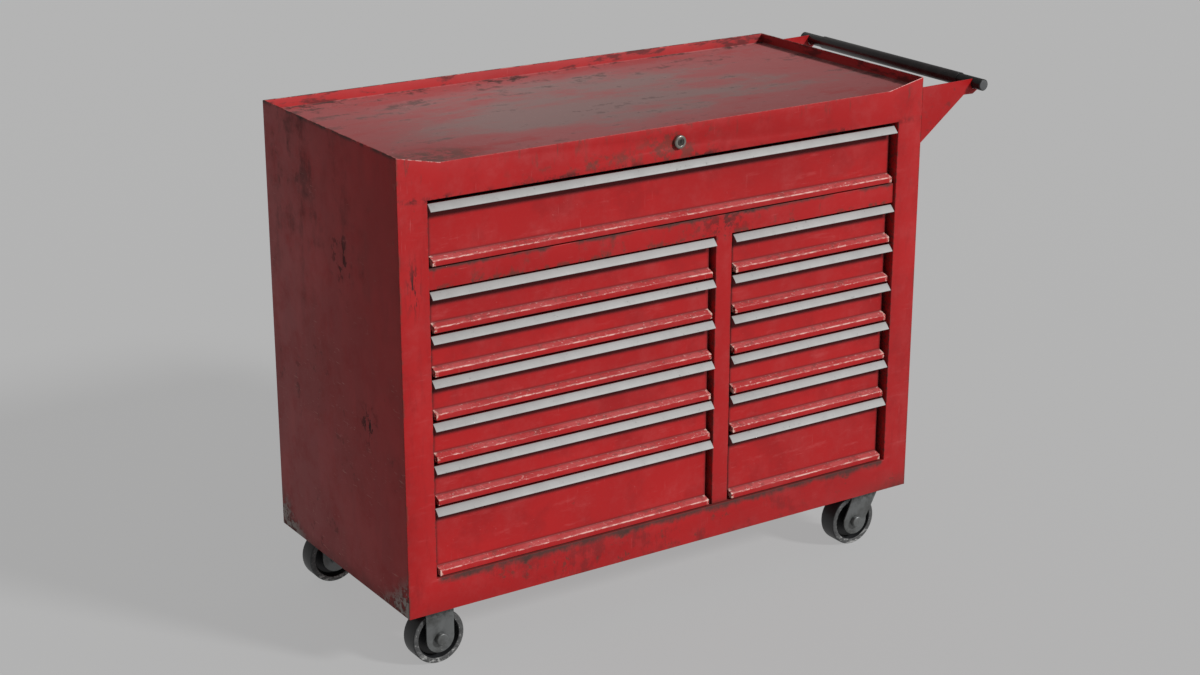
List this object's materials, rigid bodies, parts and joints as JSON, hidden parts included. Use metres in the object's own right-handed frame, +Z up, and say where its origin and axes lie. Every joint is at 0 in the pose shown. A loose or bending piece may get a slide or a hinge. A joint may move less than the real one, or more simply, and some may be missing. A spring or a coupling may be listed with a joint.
{
  "type": "rolling tool chest",
  "caption": "Wide sheet-steel tool chest on casters, with a tray top, ball-bearing drawers behind full-width pulls, one lock for all of them and a push handle on its right side.",
  "frame": {"origin": "on the floor, under the middle of the chest with its handle", "axes": "+X to the chest's right, along its width; +Y from its drawer front towards its back; +Z up"},
  "size_m": [1.2526, 0.547, 0.9317],
  "materials": {
    "red_paint": "semi-gloss red enamel, worn, scratched and stained",
    "pull_aluminium": "satin, fine scratches along its length",
    "zinc_steel": "dull zinc plating",
    "caster_steel": "dull grey plating with grime in the corners",
    "wheel_rubber": "hard matt black rubber, scuffed at the edges",
    "black_tube": "satin black",
    "grip_rubber": "matt, very slightly ribbed",
    "plug_plastic": "grey, plain",
    "lock_chrome": "dulled by keys"
  },
  "bodies": {
    "cabinet": {"front_frame": "red_paint", "left_side_panel": "red_paint", "right_side_panel": "red_paint", "back_panel": "red_paint", "base_panel": "red_paint", "top_tray": "red_paint", "cross_rail_and_divider": "red_paint", "centre_partition": "zinc_steel", "left_slide_rack": "zinc_steel", "right_slide_rack": "zinc_steel", "lock_cylinder": "lock_chrome", "front_handle_bracket": "red_paint", "rear_handle_bracket": "red_paint", "handle_tube": "black_tube", "handle_grip": "grip_rubber", "front_end_plug": "plug_plastic", "rear_end_plug": "plug_plastic", "front_left_fork": "caster_steel", "front_left_axle_bolt": "caster_steel", "rear_left_fork": "caster_steel", "rear_left_axle_bolt": "caster_steel", "front_right_swivel_plate": "zinc_steel", "rear_right_swivel_plate": "zinc_steel"},
    "wide_drawer": {"wide_drawer": "red_paint", "wide_pull": "pull_aluminium"},
    "left_1_drawer": {"left_1_drawer": "red_paint", "left_1_pull": "pull_aluminium"},
    "left_2_drawer": {"left_2_drawer": "red_paint", "left_2_pull": "pull_aluminium"},
    "left_3_drawer": {"left_3_drawer": "red_paint", "left_3_pull": "pull_aluminium"},
    "left_4_drawer": {"left_4_drawer": "red_paint", "left_4_pull": "pull_aluminium"},
    "left_5_drawer": {"left_5_drawer": "red_paint", "left_5_pull": "pull_aluminium"},
    "left_deep_drawer": {"left_deep_drawer": "red_paint", "left_deep_pull": "pull_aluminium"},
    "right_1_drawer": {"right_1_drawer": "red_paint", "right_1_pull": "pull_aluminium"},
    "right_2_drawer": {"right_2_drawer": "red_paint", "right_2_pull": "pull_aluminium"},
    "right_3_drawer": {"right_3_drawer": "red_paint", "right_3_pull": "pull_aluminium"},
    "right_4_drawer": {"right_4_drawer": "red_paint", "right_4_pull": "pull_aluminium"},
    "right_5_drawer": {"right_5_drawer": "red_paint", "right_5_pull": "pull_aluminium"},
    "right_deep_drawer": {"right_deep_drawer": "red_paint", "right_deep_pull": "pull_aluminium"},
    "lock_plug": {"lock_plug": "lock_chrome", "lock_rod": "zinc_steel"},
    "lock_bar": {"lock_bar": "zinc_steel"},
    "front_left_wheel": {"front_left_wheel": "wheel_rubber"},
    "rear_left_wheel": {"rear_left_wheel": "wheel_rubber"},
    "front_right_swivel": {"front_right_fork": "caster_steel", "front_right_axle_bolt": "caster_steel"},
    "front_right_wheel": {"front_right_wheel": "wheel_rubber"},
    "rear_right_swivel": {"rear_right_fork": "caster_steel", "rear_right_axle_bolt": "caster_steel"},
    "rear_right_wheel": {"rear_right_wheel": "wheel_rubber"}
  },
  "joints": [
    {"name": "wide_slide", "type": "slide", "parent": "cabinet", "child": "wide_drawer", "axis": [0, -1, 0], "range_m": [0, 0.34]},
    {"name": "left_1_slide", "type": "slide", "parent": "cabinet", "child": "left_1_drawer", "axis": [0, -1, 0], "range_m": [0, 0.34]},
    {"name": "left_2_slide", "type": "slide", "parent": "cabinet", "child": "left_2_drawer", "axis": [0, -1, 0], "range_m": [0, 0.34]},
    {"name": "left_3_slide", "type": "slide", "parent": "cabinet", "child": "left_3_drawer", "axis": [0, -1, 0], "range_m": [0, 0.34]},
    {"name": "left_4_slide", "type": "slide", "parent": "cabinet", "child": "left_4_drawer", "axis": [0, -1, 0], "range_m": [0, 0.34]},
    {"name": "left_5_slide", "type": "slide", "parent": "cabinet", "child": "left_5_drawer", "axis": [0, -1, 0], "range_m": [0, 0.34]},
    {"name": "left_deep_slide", "type": "slide", "parent": "cabinet", "child": "left_deep_drawer", "axis": [0, -1, 0], "range_m": [0, 0.34]},
    {"name": "right_1_slide", "type": "slide", "parent": "cabinet", "child": "right_1_drawer", "axis": [0, -1, 0], "range_m": [0, 0.34]},
    {"name": "right_2_slide", "type": "slide", "parent": "cabinet", "child": "right_2_drawer", "axis": [0, -1, 0], "range_m": [0, 0.34]},
    {"name": "right_3_slide", "type": "slide", "parent": "cabinet", "child": "right_3_drawer", "axis": [0, -1, 0], "range_m": [0, 0.34]},
    {"name": "right_4_slide", "type": "slide", "parent": "cabinet", "child": "right_4_drawer", "axis": [0, -1, 0], "range_m": [0, 0.34]},
    {"name": "right_5_slide", "type": "slide", "parent": "cabinet", "child": "right_5_drawer", "axis": [0, -1, 0], "range_m": [0, 0.34]},
    {"name": "right_deep_slide", "type": "slide", "parent": "cabinet", "child": "right_deep_drawer", "axis": [0, -1, 0], "range_m": [0, 0.34]},
    {"name": "lock_bar_drop", "type": "slide", "parent": "cabinet", "child": "lock_bar", "axis": [0, 0, -1], "range_m": [0, 0.011]},
    {"name": "lock_turn", "type": "hinge", "parent": "cabinet", "child": "lock_plug", "pos_m": [-0.07125, -0.2495, 0.8847], "axis": [0, 1, 0], "range_deg": [0, 90]},
    {"name": "front_left_wheel_spin", "type": "hinge", "parent": "cabinet", "child": "front_left_wheel", "pos_m": [-0.55425, -0.2015, 0.0508], "axis": [0, 1, 0], "continuous": true},
    {"name": "rear_left_wheel_spin", "type": "hinge", "parent": "cabinet", "child": "rear_left_wheel", "pos_m": [-0.55425, 0.2015, 0.0508], "axis": [0, 1, 0], "continuous": true},
    {"name": "front_right_swivel_turn", "type": "hinge", "parent": "cabinet", "child": "front_right_swivel", "pos_m": [0.41175, -0.2015, 0.0508], "axis": [0, 0, 1], "continuous": true},
    {"name": "front_right_wheel_spin", "type": "hinge", "parent": "front_right_swivel", "child": "front_right_wheel", "pos_m": [0.38045, -0.2015, 0.0508], "axis": [0, 1, 0], "continuous": true},
    {"name": "rear_right_swivel_turn", "type": "hinge", "parent": "cabinet", "child": "rear_right_swivel", "pos_m": [0.41175, 0.2015, 0.0508], "axis": [0, 0, 1], "continuous": true},
    {"name": "rear_right_wheel_spin", "type": "hinge", "parent": "rear_right_swivel", "child": "rear_right_wheel", "pos_m": [0.38045, 0.2015, 0.0508], "axis": [0, 1, 0], "continuous": true}
  ],
  "couplings": [
    {"joint": "lock_turn", "follows": "lock_bar_drop", "rad_per_m": 142.79}
  ]
}
